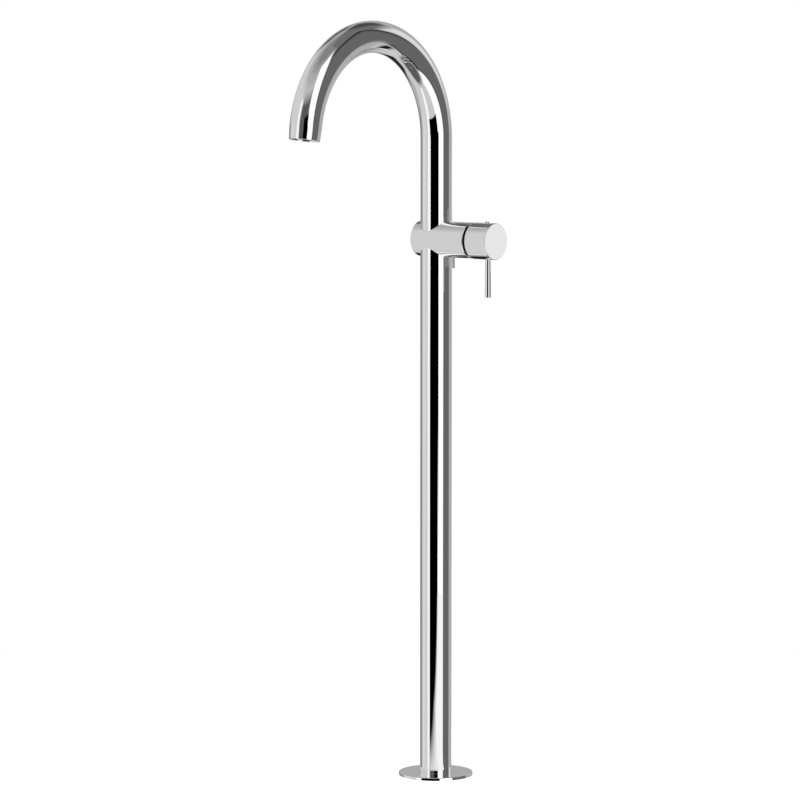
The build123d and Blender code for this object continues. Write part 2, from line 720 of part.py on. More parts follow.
# Screw that clamps the spindle in the hub, and the plug that closes its hole
with BuildPart() as hub_set_screw:
    with BuildSketch(Plane.XY.offset(body_height + spindle_width / 2)):
        with Locations((index_x, 0)):
            Circle(set_screw_diameter / 2)
    extrude(amount=hub_screw_length)
    with BuildSketch(Plane.XY.offset(body_height + spindle_width / 2 + hub_screw_length)):
        with Locations((index_x, 0)):
            RegularPolygon(set_screw_diameter / 4, 6, major_radius=False)
    extrude(amount=-set_screw_diameter / 2, mode=Mode.SUBTRACT)

with BuildPart() as index_plug:
    with BuildSketch(Plane.XY.offset(index_plug_foot)):
        with Locations((index_x, 0)):
            Circle(index_plug_diameter / 2)
    extrude(amount=index_plug_length)
    fillet(index_plug.edges().group_by(Axis.Z)[-1], index_plug_proud / 2)

# Spout: one tube, straight up, over in an arch and down to a slightly drawn-in nozzle
with BuildPart() as spout_tube:
    with BuildLine(Plane.YZ) as spout_route:
        riser = Line((0, spout_bottom), (0, spout_spring_height))
        JernArc(start=riser @ 1, tangent=(0, 1), radius=spout_radius, arc_size=spout_sweep)
    with BuildSketch(Plane.XY.offset(spout_bottom)):
        Circle(spout_radius_outer)
        Circle(spout_bore_radius, mode=Mode.SUBTRACT)
    sweep(path=spout_route.wire())
    with BuildSketch(nozzle_section):
        with BuildLine():
            Polyline(
                (spout_bore_radius, nozzle_length),
                (nozzle_bore_radius, 0),
                (nozzle_diameter / 2, 0),
                (spout_radius_outer, nozzle_length),
                close=True,
            )
        make_face()
    revolve(axis=nozzle_line)
    with BuildSketch(Plane.XZ.offset(-spout_radius_outer - 1)):
        with Locations((0, locating_z)):
            Circle(set_screw_diameter / 2 + seat_fit)
    extrude(amount=spout_wall + 2, mode=Mode.SUBTRACT)

# Bush soldered into the spout's foot, which turns on the nipple
with BuildPart() as spout_bush:
    with BuildSketch(Plane.XY.offset(bush_bottom)):
        Circle(spout_bore_radius - seat_fit)
        Circle(bush_bore_radius, mode=Mode.SUBTRACT)
    extrude(amount=nipple_top - bush_bottom)
    with BuildSketch(Plane.XZ.offset(-spout_radius_outer)):
        with Locations((0, locating_z)):
            Circle(set_screw_diameter / 2 + seat_fit)
    extrude(amount=spout_radius_outer, mode=Mode.SUBTRACT)

# Dog-point screw through the bush into the nipple's locating groove
spout_screw_end = nipple_radius + running_fit + loose_fit
with BuildPart() as spout_set_screw:
    with BuildSketch(Plane.XZ.offset(loose_fit - spout_radius_outer)):
        with Locations((0, locating_z)):
            Circle(set_screw_diameter / 2)
    extrude(amount=spout_radius_outer - loose_fit - spout_screw_end)
    with BuildSketch(Plane.XZ.offset(-spout_screw_end)):
        with Locations((0, locating_z)):
            Circle(dog_point_diameter / 2)
    extrude(amount=spout_screw_end - dog_tip_radius)
    with BuildSketch(Plane.XZ.offset(loose_fit - spout_radius_outer)):
        with Locations((0, locating_z)):
            RegularPolygon(set_screw_diameter / 4, 6, major_radius=False)
    extrude(amount=set_screw_diameter / 2, mode=Mode.SUBTRACT)

# Outlet insert soldered into the nozzle, threaded for the aerator
insert_end = insert_setback + insert_length
with BuildPart() as outlet_insert:
    with BuildSketch(nozzle_section):
        with BuildLine():
            Polyline(
                (aerator_radius + seat_fit, insert_setback),
                (nozzle_bore_at(insert_setback) - seat_fit, insert_setback),
                (nozzle_bore_at(insert_end) - seat_fit, insert_end),
                (gasket_bore_radius, insert_end),
                (gasket_bore_radius, insert_end - insert_lip),
                (aerator_radius + seat_fit, insert_end - insert_lip),
                close=True,
            )
        make_face()
    revolve(axis=nozzle_line)

# Aerator: a threaded housing, a moulded grille and the gasket behind them
gasket_start = insert_end - insert_lip - gasket_thickness
with BuildPart() as aerator_housing:
    with BuildSketch(nozzle_section):
        with Locations((aerator_radius - aerator_wall / 2, (aerator_setback + gasket_start) / 2)):
            Rectangle(aerator_wall, gasket_start - aerator_setback)
    revolve(axis=nozzle_line)
    chamfer(aerator_housing.edges().filter_by(GeomType.CIRCLE).sort_by(Axis.Z)[0:1], aerator_wall / 5)

with BuildPart() as aerator_gasket:
    with BuildSketch(nozzle_section):
        with Locations((aerator_radius - gasket_width / 2, gasket_start + gasket_thickness / 2)):
            Rectangle(gasket_width, gasket_thickness)
    revolve(axis=nozzle_line)

grille_face = nozzle_tip - flow_direction * grille_setback
grille_plane = Plane(origin=grille_face, x_dir=(1, 0, 0), z_dir=flow_direction * -1)
grille_radius = aerator_radius - aerator_wall - seat_fit
with BuildPart() as aerator_insert:
    with BuildSketch(grille_plane):
        Circle(grille_radius)
        Circle(grille_hole / 2, mode=Mode.SUBTRACT)
        with PolarLocations(grille_pitch, 6):
            Circle(grille_hole / 2, mode=Mode.SUBTRACT)
        with PolarLocations(2 * grille_pitch, 12):
            Circle(grille_hole / 2, mode=Mode.SUBTRACT)
    extrude(amount=grille_thickness)

# Every piece gets its own name and file
pieces = {
    "floor_plate": floor_plate,
    "rosette": rosette,
    "column_tube": column_tube,
    "column_set_screw": column_set_screw,
    "inlet_block": inlet_block,
    "inlet_block_ring": inlet_block_ring,
    "hot_supply_tube": hot_supply_tube,
    "cold_supply_tube": cold_supply_tube,
    "supply_o_rings": supply_o_rings,
    "body_casting": body_casting,
    "body_locking_pin": body_locking_pin,
    "spout_nipple": spout_nipple,
    "nipple_screws": nipple_screws,
    "nipple_o_rings": nipple_o_rings,
    "spout_slip_ring": spout_slip_ring,
    "cartridge_seals": cartridge_seals,
    "cartridge_base": cartridge_base,
    "fixed_disc": fixed_disc,
    "moving_disc": moving_disc,
    "disc_carrier": disc_carrier,
    "cartridge_rotor": cartridge_rotor,
    "pivot_pin": pivot_pin,
    "cartridge_shell": cartridge_shell,
    "cartridge_nut": cartridge_nut,
    "core_cover": core_cover,
    "spindle": spindle,
    "hub": hub,
    "lever": lever,
    "hub_set_screw": hub_set_screw,
    "index_plug": index_plug,
    "spout_tube": spout_tube,
    "spout_bush": spout_bush,
    "spout_set_screw": spout_set_screw,
    "outlet_insert": outlet_insert,
    "aerator_housing": aerator_housing,
    "aerator_gasket": aerator_gasket,
    "aerator_insert": aerator_insert,
}
for name, piece in pieces.items():
    piece.part.label = name
    export_step(piece.part, f"parts/{name}.step")

print(f"The moving disc travels {tail_travel:.2f} mm on an arm of {tail_arm:.2f} mm")
print(f"The nozzle's end is at {tuple(round(v, 3) for v in nozzle_tip)}")
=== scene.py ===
import bpy
import numpy as np
import json
from math import cos, radians, sin
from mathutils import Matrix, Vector


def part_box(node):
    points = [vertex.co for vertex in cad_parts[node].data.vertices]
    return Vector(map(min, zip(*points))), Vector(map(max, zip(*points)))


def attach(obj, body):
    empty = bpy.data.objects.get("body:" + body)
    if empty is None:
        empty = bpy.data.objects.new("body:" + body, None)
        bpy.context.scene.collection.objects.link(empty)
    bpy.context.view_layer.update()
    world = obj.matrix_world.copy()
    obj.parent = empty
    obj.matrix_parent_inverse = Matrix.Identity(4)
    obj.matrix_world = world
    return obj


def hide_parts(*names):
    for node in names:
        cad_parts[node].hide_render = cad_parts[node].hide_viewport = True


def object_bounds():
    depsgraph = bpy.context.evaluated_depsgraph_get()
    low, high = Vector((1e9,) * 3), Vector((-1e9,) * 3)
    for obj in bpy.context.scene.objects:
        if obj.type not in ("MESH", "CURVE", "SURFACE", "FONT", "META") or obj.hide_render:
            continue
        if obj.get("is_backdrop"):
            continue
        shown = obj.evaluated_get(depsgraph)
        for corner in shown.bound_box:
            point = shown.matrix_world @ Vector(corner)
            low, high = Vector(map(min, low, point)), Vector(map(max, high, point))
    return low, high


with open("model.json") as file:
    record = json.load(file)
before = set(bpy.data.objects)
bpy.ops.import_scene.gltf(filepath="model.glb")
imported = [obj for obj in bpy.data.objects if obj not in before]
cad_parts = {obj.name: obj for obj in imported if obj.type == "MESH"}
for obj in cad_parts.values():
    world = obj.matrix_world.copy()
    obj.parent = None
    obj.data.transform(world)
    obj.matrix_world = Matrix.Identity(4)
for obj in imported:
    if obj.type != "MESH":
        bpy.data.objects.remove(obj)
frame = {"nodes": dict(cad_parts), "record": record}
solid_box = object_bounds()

camera_turn = radians(38.8)
camera_distance = 6.076
camera_height = 1.176
aim_left = 0.0547
aim_height = 0.576
lens_mm = 180.9
towards_camera = Vector((sin(camera_turn), -cos(camera_turn), 0))
camera_right = Vector((cos(camera_turn), sin(camera_turn), 0))

camera_data = bpy.data.cameras.new("camera")
camera_data.lens = lens_mm
camera_data.sensor_width = 36
camera = bpy.data.objects.new("camera", camera_data)
bpy.context.scene.collection.objects.link(camera)
camera.location = towards_camera * camera_distance + Vector((0, 0, camera_height))
aim_point = camera_right * -aim_left + Vector((0, 0, aim_height))
camera.rotation_euler = (aim_point - camera.location).to_track_quat("-Z", "Y").to_euler()
bpy.context.scene.camera = camera
bpy.context.scene.view_settings.view_transform = "Standard"

# The studio
# Polished chrome shows only what stands round it: soft white panels, a black flag in front,
# grey walls and a dark ceiling. They are soft-edged patches of the world, set by direction.


def new_nodes(tree):
    """Empties a node tree and returns a function that adds a node with its settings."""
    tree.nodes.clear()

    def add(kind, **settings):
        node = tree.nodes.new(kind)
        for key, value in settings.items():
            setattr(node, key, value)
        return node

    return add


def soft_patch_group():
    """A patch in the sky: 1 between two turns and two heights, falling to 0 over the softness."""
    group = bpy.data.node_groups.new("studio_patch", "ShaderNodeTree")
    sockets = ("Turn", "Height", "Left", "Right", "Low", "High", "Softness", "Value", "Below")
    for name in sockets:
        group.interface.new_socket(name=name, in_out="INPUT", socket_type="NodeSocketFloat")
    group.interface.new_socket(name="Light", in_out="OUTPUT", socket_type="NodeSocketFloat")
    add = new_nodes(group)
    source = add("NodeGroupInput")
    drain = add("NodeGroupOutput")
    masks = []
    for value, low, high in (("Turn", "Left", "Right"), ("Height", "Low", "High")):
        for edge, sign in ((low, 1), (high, -1)):
            gap = add("ShaderNodeMath", operation="SUBTRACT")
            first, second = (value, edge) if sign == 1 else (edge, value)
            group.links.new(source.outputs[first], gap.inputs[0])
            group.links.new(source.outputs[second], gap.inputs[1])
            share = add("ShaderNodeMath", operation="DIVIDE")
            group.links.new(gap.outputs[0], share.inputs[0])
            group.links.new(source.outputs["Softness"], share.inputs[1])
            step = add("ShaderNodeMath", operation="ADD", use_clamp=True)
            group.links.new(share.outputs[0], step.inputs[0])
            step.inputs[1].default_value = 0.5
            masks.append(step)
    product = masks[0]
    for mask in masks[1:]:
        times = add("ShaderNodeMath", operation="MULTIPLY")
        group.links.new(product.outputs[0], times.inputs[0])
        group.links.new(mask.outputs[0], times.inputs[1])
        product = times
    mix = add("ShaderNodeMix", data_type="FLOAT")
    group.links.new(product.outputs[0], mix.inputs[0])
    group.links.new(source.outputs["Below"], mix.inputs[2])
    group.links.new(source.outputs["Value"], mix.inputs[3])
    group.links.new(mix.outputs[0], drain.inputs["Light"])
    return group


# Patches as turn from the camera's own direction, positive to the right, and height, in degrees,
# each with its softness and its brightness
wall_light = 0.62
studio_patches = (
    (-200, 60, 42, 95, 20, 0.45),
    (-200, 200, 64, 95, 18, 0.24),
    (60, 200, 34, 95, 14, 0.16),
    (140, 200, 38, 60, 10, 0.07),
    (-200, 200, -95, -68, 8, 0.11),
    (-152, -62, -60, 42, 14, 0.66),
    (-160, -112, -46, 0, 12, 0.46),
    (-200, -152, -42, -14, 8, 0.13),
    (-200, -124, -16, 4, 10, 0.27),
    (-200, -156, 4, 33, 8, 0.42),
    (-112, -90, -16, 8, 8, 0.74),
    (-176, -148, 26, 50, 8, 0.14),
    (-200, -148, -50, -20, 8, 0.02),
    (-63, -41, -62, 34, 4, 1.0),
    (-44, 14, 12, 36, 14, 0.1),
    (14, 58, -7, 60, 4, 1.1),
    (10, 54, -62, -3, 4, 1.1),
    (54, 112, -66, 56, 6, 0.04),
    (59, 106, -56, 46, 4, 0.135),
    (108, 200, -30, 3, 8, 0.44),
    (112, 140, 4, 30, 6, 0.75),
    (140, 200, 3, 33, 8, 0.42),
    (116, 144, -48, -36, 6, 0.01),
    (-44, -10, 2, 20, 4, 0.11),
    (-42.5, 18, -7, 5, 2, 0.0),
    (-13, 16, 1, 19, 3, 0.0),
    (-45.5, 12.5, -24, -4, 2, 0.0),
)
world = bpy.data.worlds.new("studio")
bpy.context.scene.world = world
world.use_nodes = True
sky = world.node_tree
add = new_nodes(sky)
place = add("ShaderNodeTexCoord")
ways = {}
for name, way in (("right", camera_right), ("front", towards_camera), ("up", Vector((0, 0, 1)))):
    ways[name] = add("ShaderNodeVectorMath", operation="DOT_PRODUCT")
    ways[name].inputs[1].default_value = way
    sky.links.new(place.outputs["Generated"], ways[name].inputs[0])
angle = add("ShaderNodeMath", operation="ARCTAN2")
sky.links.new(ways["right"].outputs["Value"], angle.inputs[0])
sky.links.new(ways["front"].outputs["Value"], angle.inputs[1])
turn = add("ShaderNodeMath", operation="DEGREES")
sky.links.new(angle.outputs[0], turn.inputs[0])
rise = add("ShaderNodeMath", operation="ARCSINE")
sky.links.new(ways["up"].outputs["Value"], rise.inputs[0])
height = add("ShaderNodeMath", operation="DEGREES")
sky.links.new(rise.outputs[0], height.inputs[0])
patch_group = soft_patch_group()
light = None
for patch in studio_patches:
    node = add("ShaderNodeGroup", node_tree=patch_group)
    sky.links.new(turn.outputs[0], node.inputs["Turn"])
    sky.links.new(height.outputs[0], node.inputs["Height"])
    for socket, value in zip(("Left", "Right", "Low", "High", "Softness", "Value"), patch):
        node.inputs[socket].default_value = value
    if light is None:
        node.inputs["Below"].default_value = wall_light
    else:
        sky.links.new(light, node.inputs["Below"])
    light = node.outputs["Light"]
rays = add("ShaderNodeLightPath")
seen = add("ShaderNodeMix", data_type="FLOAT")
sky.links.new(rays.outputs["Is Camera Ray"], seen.inputs[0])
sky.links.new(light, seen.inputs[2])
seen.inputs[3].default_value = 1.0
background = add("ShaderNodeBackground")
sky.links.new(seen.outputs[0], background.inputs["Color"])
world_out = add("ShaderNodeOutputWorld")
sky.links.new(background.outputs[0], world_out.inputs["Surface"])

# The floor
# A pale board that the tap stands on, ending less than a metre in front of it. The camera sees it
# white, with the tap's soft shadow; the chrome sees the floor card's painted shade in its place.
board_front = 0.72
board_back = 1.1
board_sides = 2.4


def make_mesh(name, vertices, faces, sharp_angle=35):
    """Puts vertices and faces into a new smooth mesh, with edges over the angle kept sharp."""
    mesh = bpy.data.meshes.new(name)
    mesh.from_pydata([tuple(v) for v in vertices], [], [tuple(f) for f in faces])
    mesh.validate()
    mesh.shade_smooth()
    mesh.set_sharp_from_angle(angle=radians(sharp_angle))
    piece = bpy.data.objects.new(name, mesh)
    bpy.context.scene.collection.objects.link(piece)
    return piece


corners = [
    towards_camera * depth + camera_right * width
    for depth, width in (
        (board_front, -board_sides),
        (board_front, board_sides),
        (-board_back, board_sides),
        (-board_back, -board_sides),
    )
]
floor = make_mesh("floor", [(c.x, c.y, 0) for c in corners], [(0, 1, 2, 3)])
floor_paint = bpy.data.materials.new("floor_paint")
floor_paint.use_nodes = True
floor_tree = floor_paint.node_tree
add = new_nodes(floor_tree)
board = add("ShaderNodeBsdfPrincipled")
board.inputs["Base Color"].default_value = (0.9, 0.9, 0.9, 1)
board.inputs["Roughness"].default_value = 0.9
glow = add("ShaderNodeEmission")
glow.inputs["Strength"].default_value = 0.75
both = add("ShaderNodeAddShader")
floor_tree.links.new(board.outputs[0], both.inputs[0])
floor_tree.links.new(glow.outputs[0], both.inputs[1])
floor_rays = add("ShaderNodeLightPath")
seen_floor = add("ShaderNodeMixShader")
floor_tree.links.new(floor_rays.outputs["Is Camera Ray"], seen_floor.inputs[0])
floor_tree.links.new(board.outputs[0], seen_floor.inputs[1])
floor_tree.links.new(both.outputs[0], seen_floor.inputs[2])
floor_out = add("ShaderNodeOutputMaterial")
floor_tree.links.new(seen_floor.outputs[0], floor_out.inputs["Surface"])
floor.data.materials.append(floor_paint)
floor.visible_glossy = False
floor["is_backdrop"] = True

# The cards
# Two glowing white cards that only reflections see, each from one way only: painted reflections.
# One over the floor, whose painted shade on its left side cuts the column's black stripe short at
# the foot, and one a quarter of a metre from the handle, a painted highlight on the hub's face.


def card(name, corners, way, least, most, light):
    """A glowing flat card that only reflections see, and only from some directions: a painted
    reflection.

    It shows where the ray that meets it makes a dot product between least and most with the way.
    The light is its brightness, or a function that adds nodes and returns the brightness's socket.
    """
    paint = bpy.data.materials.new(name)
    paint.use_nodes = True
    tree = paint.node_tree
    add = new_nodes(tree)
    glow = add("ShaderNodeEmission")
    if callable(light):
        tree.links.new(light(tree, add), glow.inputs["Strength"])
    else:
        glow.inputs["Strength"].default_value = light
    clear = add("ShaderNodeBsdfTransparent")
    shape = add("ShaderNodeNewGeometry")
    across = add("ShaderNodeVectorMath", operation="DOT_PRODUCT")
    tree.links.new(shape.outputs["Incoming"], across.inputs[0])
    across.inputs[1].default_value = way
    # The test on the ray's direction that limits this painted reflection to rays from one way
    grid = add("ShaderNodeMath", operation="COMPARE")
    tree.links.new(across.outputs["Value"], grid.inputs[0])
    grid.inputs[1].default_value = (least + most) / 2
    grid.inputs[2].default_value = (most - least) / 2
    shown = add("ShaderNodeMixShader")
    tree.links.new(grid.outputs[0], shown.inputs[0])
    tree.links.new(clear.outputs[0], shown.inputs[1])
    tree.links.new(glow.outputs[0], shown.inputs[2])
    out = add("ShaderNodeOutputMaterial")
    tree.links.new(shown.outputs[0], out.inputs["Surface"])
    sheet = make_mesh(name, corners, [tuple(range(len(corners)))])
    sheet.data.materials.append(paint)
    sheet.visible_camera = False
    sheet.visible_diffuse = False
    sheet.visible_shadow = False
    sheet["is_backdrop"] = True


def on_floor(turn_degrees, distance):
    """A point just over the rosette, by its turn from the camera and distance from the column."""
    turn = radians(turn_degrees)
    spot = (towards_camera * cos(turn) + camera_right * sin(turn)) * distance
    return (spot.x, spot.y, 0.0052)


def floor_shade(tree, add):
    """Floor card brightness, a painted shadow: dark at left, full at right, with a soft slanted
    limit.

    With x to the right and y to the front it is (x - 0.38 * max(y - 0.62, 0) + 0.08) / 0.24 + 0.5,
    held between 0 and 0.98.
    """
    place = add("ShaderNodeNewGeometry")
    parts = []
    for way in (camera_right, towards_camera):
        part = add("ShaderNodeVectorMath", operation="DOT_PRODUCT")
        tree.links.new(place.outputs["Position"], part.inputs[0])
        part.inputs[1].default_value = way
        parts.append(part.outputs["Value"])
    ahead_of = add("ShaderNodeMath", operation="SUBTRACT")
    tree.links.new(parts[1], ahead_of.inputs[0])
    ahead_of.inputs[1].default_value = 0.62
    slant = add("ShaderNodeMath", operation="MAXIMUM")
    tree.links.new(ahead_of.outputs[0], slant.inputs[0])
    slant.inputs[1].default_value = 0
    lean = add("ShaderNodeMath", operation="MULTIPLY_ADD")
    tree.links.new(slant.outputs[0], lean.inputs[0])
    lean.inputs[1].default_value = -0.38
    tree.links.new(parts[0], lean.inputs[2])
    ramp = add("ShaderNodeMapRange")
    tree.links.new(lean.outputs[0], ramp.inputs["Value"])
    ramp.inputs["From Min"].default_value = -0.2
    ramp.inputs["From Max"].default_value = 0.04
    ramp.inputs["To Max"].default_value = 0.98
    return ramp.outputs[0]


# The floor card: a painted reflection of the floor, with a painted shadow at its left
sector = [on_floor(turn, 0.054) for turn in range(-42, 51, 4)]
sector += [on_floor(turn, 1.9) for turn in range(50, -43, -4)]
card("floor_card", sector, way=(0, 0, 1), least=-0.24, most=0.24, light=floor_shade)


def upright_card(name, spot, way, distance, half_width, half_height, most, light):
    """An upright card at a distance from a spot along a way, for rays that leave it that way."""
    way = Vector(way).normalized()
    side = way.cross(Vector((0, 0, 1))).normalized() * half_width
    rise = Vector((0, 0, half_height))
    middle = Vector(spot) + way * distance
    corners = [middle + side * a + rise * b for a, b in ((-1, -1), (1, -1), (1, 1), (-1, 1))]
    card(name, corners, way, -1.01, most, light)


# The face card: a painted highlight on the hub's face, shown only to rays that leave it straight
upright_card(
    "face_card",
    spot=(0.1143, 0, 0.821),
    way=(0.627, 0.779, -0.06),
    distance=0.25,
    half_width=0.05,
    half_height=0.045,
    most=-0.993,
    light=0.86,
)

# The rosette
# A flat chromed cover, spun from brass sheet with a small rolled edge. It slides down the column
# over the floor plate and its bolts, and lies on the floor under its own weight.


def metal_material(name, colour, roughness, brushed=0.0, metallic=1.0):
    """A metal or plastic finish: its colour, a faint change of gloss and fine polishing marks."""
    material = bpy.data.materials.new(name)
    material.use_nodes = True
    tree = material.node_tree
    add = new_nodes(tree)
    where = add("ShaderNodeTexCoord")
    cloud = add("ShaderNodeTexNoise")
    cloud.inputs["Scale"].default_value = 35
    cloud.inputs["Detail"].default_value = 4
    tree.links.new(where.outputs["Object"], cloud.inputs["Vector"])
    gloss = add("ShaderNodeMapRange")
    gloss.inputs["To Min"].default_value = roughness * 0.75
    gloss.inputs["To Max"].default_value = roughness * 1.3
    tree.links.new(cloud.outputs[0], gloss.inputs["Value"])
    tone = add("ShaderNodeMix", data_type="RGBA")
    tree.links.new(cloud.outputs[0], tone.inputs[0])
    tone.inputs[6].default_value = (*[c * 0.985 for c in colour], 1)
    tone.inputs[7].default_value = (*colour, 1)
    grain = add("ShaderNodeTexNoise")
    grain.inputs["Scale"].default_value = 900
    tree.links.new(where.outputs["Object"], grain.inputs["Vector"])
    bump = add("ShaderNodeBump")
    bump.inputs["Strength"].default_value = brushed
    bump.inputs["Distance"].default_value = 0.00005
    tree.links.new(grain.outputs[0], bump.inputs["Height"])
    shader = add("ShaderNodeBsdfPrincipled")
    shader.inputs["Metallic"].default_value = metallic
    tree.links.new(tone.outputs[2], shader.inputs["Base Color"])
    tree.links.new(gloss.outputs[0], shader.inputs["Roughness"])
    if brushed:
        tree.links.new(bump.outputs[0], shader.inputs["Normal"])
    out = add("ShaderNodeOutputMaterial")
    tree.links.new(shader.outputs[0], out.inputs["Surface"])
    return material


def rounded(points, steps=6, margin=0.0003):
    """A profile of (along, radius) points, each with a corner radius, and an arc at each corner.

    A point is added on each side of an arc, so that the long faces beside it keep true normals.
    """
    places = np.array([point[:2] for point in points], float)
    corners = [point[2] for point in points]
    last = len(points) - 1
    reach = np.zeros(len(points))
    for i in range(1, last):
        before = places[i - 1] - places[i]
        after = places[i + 1] - places[i]
        cosine = before @ after / np.linalg.norm(before) / np.linalg.norm(after)
        turn = np.arccos(np.clip(cosine, -1, 1))
        reach[i] = corners[i] / np.tan(turn / 2)
    line = []
    for i, here in enumerate(places):
        if corners[i] == 0 or i in (0, last):
            line.append(here)
            continue
        legs = []
        for j in (i - 1, i + 1):
            leg = places[j] - here
            length = np.linalg.norm(leg)
            room = length - reach[i] - reach[j]
            legs.append((leg / length, min(margin, room / 3)))
        (before, margin_before), (after, margin_after) = legs
        inwards = (before + after) / np.linalg.norm(before + after)
        middle = here + inwards * np.hypot(reach[i], corners[i])
        start = here + before * reach[i] - middle
        end = here + after * reach[i] - middle
        sweep = np.linspace(0, 1, steps + 1)[:, None]
        spread = np.arccos(np.clip(start @ end / corners[i] ** 2, -1, 1))
        if margin_before > 1e-6:
            line.append(here + before * (reach[i] + margin_before))
        arc = np.sin((1 - sweep) * spread) * start + np.sin(sweep * spread) * end
        line.extend(middle + arc / np.sin(spread))
        if margin_after > 1e-6:
            line.append(here + after * (reach[i] + margin_after))
    return np.array(line)


def tube_faces(rings, around, closed=False):
    """Quads between rings of points, each joined round, and the last to the first if closed."""
    ring = np.arange(rings if closed else rings - 1)[:, None] * around
    step = np.arange(around)[None, :]
    following = (step + 1) % around
    above = (ring + around) % (rings * around)
    corners = [ring + step, ring + following, above + following, above + step]
    return np.stack(corners, -1).reshape(-1, 4)


def turned(name, points, origin, axis, side, around=128, closed=False):
    """A turned piece: its profile of (along, radius) points is carried round the axis.

    A point is origin + along * axis + radius * (cos t * side + sin t * third), where third is
    square to both. A profile that starts and ends at radius 0 makes a closed solid.
    """
    line = rounded(points)
    axis = np.array(axis, float)
    side = np.array(side, float)
    third = np.cross(axis, side)
    t = np.linspace(0, 2 * np.pi, around, endpoint=False)
    circle = np.cos(t)[:, None] * side + np.sin(t)[:, None] * third
    grid = np.array(origin) + line[:, 0, None, None] * axis + line[:, 1, None, None] * circle
    piece = make_mesh(name, grid.reshape(-1, 3), tube_faces(len(line), around, closed))
    merge_doubles(piece)
    return piece


def merge_doubles(piece):
    """Merges the points that coincide, such as those of a pole, and turns all faces outwards."""
    import bmesh

    bm = bmesh.new()
    bm.from_mesh(piece.data)
    bmesh.ops.remove_doubles(bm, verts=bm.verts, dist=1e-6)
    bmesh.ops.recalc_face_normals(bm, faces=bm.faces)
    bm.to_mesh(piece.data)
    bm.free()
    piece.data.shade_smooth()
    piece.data.set_sharp_from_angle(angle=radians(35))


def dress(piece, material, body, slot, *replaced):
    """Gives a piece its material and its body, and hides the solids that it stands for.

    The slot is not used.
    """
    piece.data.materials.append(material)
    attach(piece, body)
    if replaced:
        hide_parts(*replaced)


chrome = metal_material("polished_chrome", (0.93, 0.93, 0.94), 0.025)
mm = 0.001
up = (0, 0, 1)
ahead = (1, 0, 0)
rosette_low, rosette_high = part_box("rosette")
rosette_radius = (rosette_high.x - rosette_low.x) / 2
rosette_hole = 24.3 * mm
rosette_wall = 1 * mm
rosette_edge = 0.9 * mm
rosette = turned(
    "rosette_cover",
    [
        (rosette_high.z - rosette_wall, rosette_hole, 0),
        (rosette_high.z, rosette_hole, 0.3 * mm),
        (rosette_high.z, rosette_radius, rosette_edge),
        (0, rosette_radius, 0.2 * mm),
        (0, rosette_radius - rosette_wall, 0.2 * mm),
        (rosette_high.z - rosette_wall, rosette_radius - rosette_wall, 0.5 * mm),
        (rosette_high.z - rosette_wall, rosette_hole, 0),
    ],
    (0, 0, 0), up, ahead, around=192,
)
dress(rosette, chrome, "stand", "polished_chrome", "rosette")

# The column
# A chromed brass tube over the floor plate's spigot, up into the socket under the body.
column_low, column_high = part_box("column_tube")
column_radius = (column_high.x - column_low.x) / 2
column_wall = 1.5 * mm
column = turned(
    "column_shell",
    [
        (column_low.z, column_radius - column_wall, 0),
        (column_low.z, column_radius, 0.2 * mm),
        (column_high.z, column_radius, 0.2 * mm),
        (column_high.z, column_radius - column_wall, 0.2 * mm),
        (column_low.z, column_radius - column_wall, 0),
    ],
    (0, 0, 0), up, ahead, around=160,
)
dress(column, chrome, "stand", "polished_chrome", "column_tube")

# The body
# A brass cylinder lying across the column, bored from below and above for the two tubes and from
# its front end for the cartridge, then polished and plated.
body_low, body_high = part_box("body_casting")
body_radius = (body_high.y - body_low.y) / 2
body_height = body_high.z - body_radius
body_back = body_low.x
body_front = body_high.x
body_rim = 1.3 * mm
body_mouth_rim = 1.2 * mm
mouth_radius = 22 * mm
mouth_depth = 10.5 * mm
socket_radius = 24.05 * mm
socket_floor = 8 * mm


def half_shell(side, stations, around):
    """One long side of the body, cut back where the tubes' sockets break through it.

    At a station x the side runs over the angles -c to c from level, where c is 90 degrees clear
    of the sockets and arccos(sqrt(R^2 - x^2) / r) across them, for a socket of radius R.
    """
    chord = np.sqrt(np.clip(socket_radius**2 - stations**2, 0, None))
    cut = np.arccos(np.clip(chord / body_radius, 0, 1))
    share = np.linspace(-1, 1, around)
    angle = cut[:, None] * share[None, :]
    x = np.repeat(stations[:, None], around, 1)
    y = side * body_radius * np.cos(angle)
    z = body_height + body_radius * np.sin(angle)
    return np.stack([x, y, z], -1)


def sheet_faces(rows, columns):
    """Quads of an open grid of points."""
    row = np.arange(rows - 1)[:, None] * columns
    step = np.arange(columns - 1)[None, :]
    here = row + step
    return np.stack([here, here + 1, here + columns + 1, here + columns], -1).reshape(-1, 4)


def joined(name, parts):
    """One mesh from several grids of vertices and faces, with their shared edges merged."""
    vertices, faces, offset = [], [], 0
    for points, quads in parts:
        points = points.reshape(-1, 3)
        vertices.append(points)
        faces.append(quads + offset)
        offset += len(points)
    piece = make_mesh(name, np.concatenate(vertices), np.concatenate(faces))
    merge_doubles(piece)
    return piece


socket_points = 97
cosine = np.cos(np.linspace(np.pi, 0, socket_points))
across_sockets = socket_radius * cosine
rim_margin = 0.3 * mm
back_stations = [body_back + body_rim, body_back + body_rim + rim_margin]
front_stations = [body_front - body_mouth_rim - rim_margin, body_front - body_mouth_rim]
stations = np.concatenate([back_stations, across_sockets, front_stations])
side_points = 97
front_side = half_shell(-1, stations, side_points)
back_side = half_shell(1, stations, side_points)
quads = sheet_faces(len(stations), side_points)
end_angle = np.linspace(-np.pi / 2, 3 * np.pi / 2, 2 * side_points - 1)[:-1]


def body_end(line):
    """An end of the body, turned about its axis with the same points round as its two sides."""
    x = line[:, 0, None] + 0 * end_angle
    y = -line[:, 1, None] * np.cos(end_angle)
    z = body_height + line[:, 1, None] * np.sin(end_angle)
    return np.stack([x, y, z], -1), tube_faces(len(line), len(end_angle))


